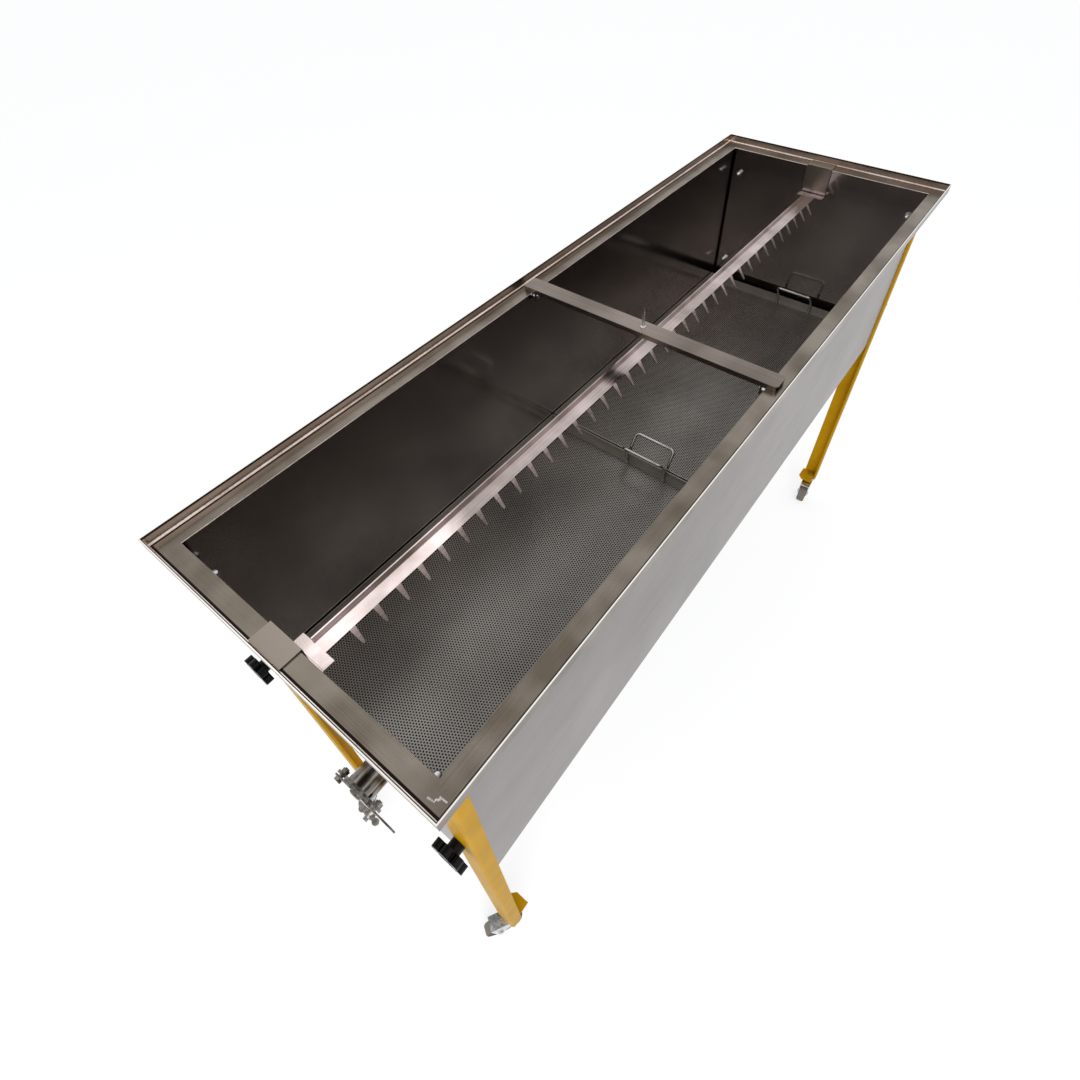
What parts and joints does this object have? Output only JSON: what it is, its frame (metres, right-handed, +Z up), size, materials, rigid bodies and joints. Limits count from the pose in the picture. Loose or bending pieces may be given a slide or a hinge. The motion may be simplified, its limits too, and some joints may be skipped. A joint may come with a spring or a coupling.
{
  "type": "uncapping tank",
  "caption": "Long stainless trough on castored legs with a toothed frame rest, a sliding spiked bar, perforated drain trays with wire handles and a swinging outlet gate",
  "frame": {"origin": "centre of the overall bounding box in X and Y, on the floor under the castors", "axes": "+X runs along the tank from the outlet gate to the far end, +Z is up, and the front long wall faces -Y"},
  "size_m": [1.596, 0.524, 1.0353],
  "materials": {
    "sheet": "brushed stainless sheet",
    "rim": "brushed stainless sheet with a bright lip",
    "wire": "polished stainless wire",
    "paint": "glossy yellow paint",
    "zinc": "bright zinc plate",
    "bolt": "bright plated steel",
    "knob": "black moulded plastic",
    "tyre": "worn grey tread with darker sides",
    "cast": "polished stainless gate parts",
    "seal": "pale food-grade seal"
  },
  "bodies": {
    "tank": {"side_wall_front": "sheet", "side_wall_back": "sheet", "end_wall_gate": "sheet", "end_wall_far": "sheet", "floor_pan": "sheet", "rim_front": "rim", "rim_back": "rim", "rim_gate_end": "rim", "rim_far_end": "rim", "leg_gate_front": "paint", "leg_gate_back": "paint", "leg_far_front": "paint", "leg_far_back": "paint", "foot_gate_front": "paint", "foot_gate_back": "paint", "foot_far_front": "paint", "foot_far_back": "paint", "leg_bolts": "bolt", "knob_studs": "bolt", "castor_mounts": "zinc", "tray_ledge_front": "sheet", "tray_ledge_back": "sheet", "outlet_pipe": "cast", "gate_plate": "cast", "gate_seal": "seal", "gate_pivot_bolt": "bolt", "gate_clamp_stud": "bolt"},
    "frame_rest": {"frame_rest_rail": "sheet", "rest_teeth": "sheet", "rest_hook_gate": "sheet", "rest_hook_far": "sheet"},
    "bar": {"sliding_bar": "sheet", "bar_spike": "bolt", "spike_nut": "bolt", "stop_tabs": "sheet", "stop_screws": "bolt"},
    "tray_gate": {"tray_gate_sheet": "sheet", "tray_gate_edges": "sheet", "tray_gate_handles": "wire"},
    "tray_far": {"tray_far_sheet": "sheet", "tray_far_edges": "sheet", "tray_far_handles": "wire"},
    "knob_gate_front": {"knob_gate_front": "knob"},
    "knob_gate_back": {"knob_gate_back": "knob"},
    "knob_far_front": {"knob_far_front": "knob"},
    "knob_far_back": {"knob_far_back": "knob"},
    "castor_gate_front": {"fork_gate_front": "zinc", "axle_gate_front": "zinc"},
    "castor_gate_back": {"fork_gate_back": "zinc", "axle_gate_back": "zinc"},
    "castor_far_front": {"fork_far_front": "zinc", "axle_far_front": "zinc"},
    "castor_far_back": {"fork_far_back": "zinc", "axle_far_back": "zinc"},
    "wheel_gate_front": {"wheel_gate_front": "tyre"},
    "wheel_gate_back": {"wheel_gate_back": "tyre"},
    "wheel_far_front": {"wheel_far_front": "tyre"},
    "wheel_far_back": {"wheel_far_back": "tyre"},
    "blade": {"gate_blade": "cast"},
    "wing_nut": {"gate_wing_nut": "bolt"}
  },
  "joints": [
    {"name": "frame_rest_lift", "type": "slide", "parent": "tank", "child": "frame_rest", "axis": [0, 0, 1], "range_m": [0, 0.05]},
    {"name": "bar_slide", "type": "slide", "parent": "tank", "child": "bar", "axis": [1, 0, 0], "range_m": [-0.69, 0.76]},
    {"name": "tray_gate_lift", "type": "slide", "parent": "tank", "child": "tray_gate", "axis": [0, 0, 1], "range_m": [0, 0.2]},
    {"name": "tray_far_lift", "type": "slide", "parent": "tank", "child": "tray_far", "axis": [0, 0, 1], "range_m": [0, 0.2]},
    {"name": "knob_gate_front_turn", "type": "hinge", "parent": "tank", "child": "knob_gate_front", "pos_m": [-0.74045, -0.2065, 0.7], "axis": [-1, 0, 0], "continuous": true},
    {"name": "knob_gate_back_turn", "type": "hinge", "parent": "tank", "child": "knob_gate_back", "pos_m": [-0.74045, 0.2065, 0.7], "axis": [-1, 0, 0], "continuous": true},
    {"name": "knob_far_front_turn", "type": "hinge", "parent": "tank", "child": "knob_far_front", "pos_m": [0.77255, -0.2065, 0.7], "axis": [1, 0, 0], "continuous": true},
    {"name": "knob_far_back_turn", "type": "hinge", "parent": "tank", "child": "knob_far_back", "pos_m": [0.77255, 0.2065, 0.7], "axis": [1, 0, 0], "continuous": true},
    {"name": "castor_gate_front_swivel", "type": "hinge", "parent": "tank", "child": "castor_gate_front", "pos_m": [-0.72245, -0.2185, 0.08], "axis": [0, 0, 1], "continuous": true},
    {"name": "wheel_gate_front_roll", "type": "hinge", "parent": "castor_gate_front", "child": "wheel_gate_front", "pos_m": [-0.75159, -0.20099, 0.03], "axis": [0.515, 0.8572, 0], "continuous": true},
    {"name": "castor_gate_back_swivel", "type": "hinge", "parent": "tank", "child": "castor_gate_back", "pos_m": [-0.72245, 0.2185, 0.08], "axis": [0, 0, 1], "continuous": true},
    {"name": "wheel_gate_back_roll", "type": "hinge", "parent": "castor_gate_back", "child": "wheel_gate_back", "pos_m": [-0.75326, 0.20413, 0.03], "axis": [-0.4226, 0.9063, 0], "continuous": true},
    {"name": "castor_far_front_swivel", "type": "hinge", "parent": "tank", "child": "castor_far_front", "pos_m": [0.75455, -0.2185, 0.08], "axis": [0, 0, 1], "continuous": true},
    {"name": "wheel_far_front_roll", "type": "hinge", "parent": "castor_far_front", "child": "wheel_far_front", "pos_m": [0.72068, -0.22146, 0.03], "axis": [-0.0872, 0.9962, 0], "continuous": true},
    {"name": "castor_far_back_swivel", "type": "hinge", "parent": "tank", "child": "castor_far_back", "pos_m": [0.75455, 0.2185, 0.08], "axis": [0, 0, 1], "continuous": true},
    {"name": "wheel_far_back_roll", "type": "hinge", "parent": "castor_far_back", "child": "wheel_far_back", "pos_m": [0.7251, 0.2355, 0.03], "axis": [0.5, 0.866, 0], "continuous": true},
    {"name": "gate_blade_swing", "type": "hinge", "parent": "tank", "child": "blade", "pos_m": [-0.77975, 0.039, 0.573], "axis": [-1, 0, 0], "range_deg": [0, 85]},
    {"name": "gate_wing_nut_turn", "type": "hinge", "parent": "tank", "child": "wing_nut", "pos_m": [-0.78305, -0.039, 0.573], "axis": [-1, 0, 0], "continuous": true}
  ]
}
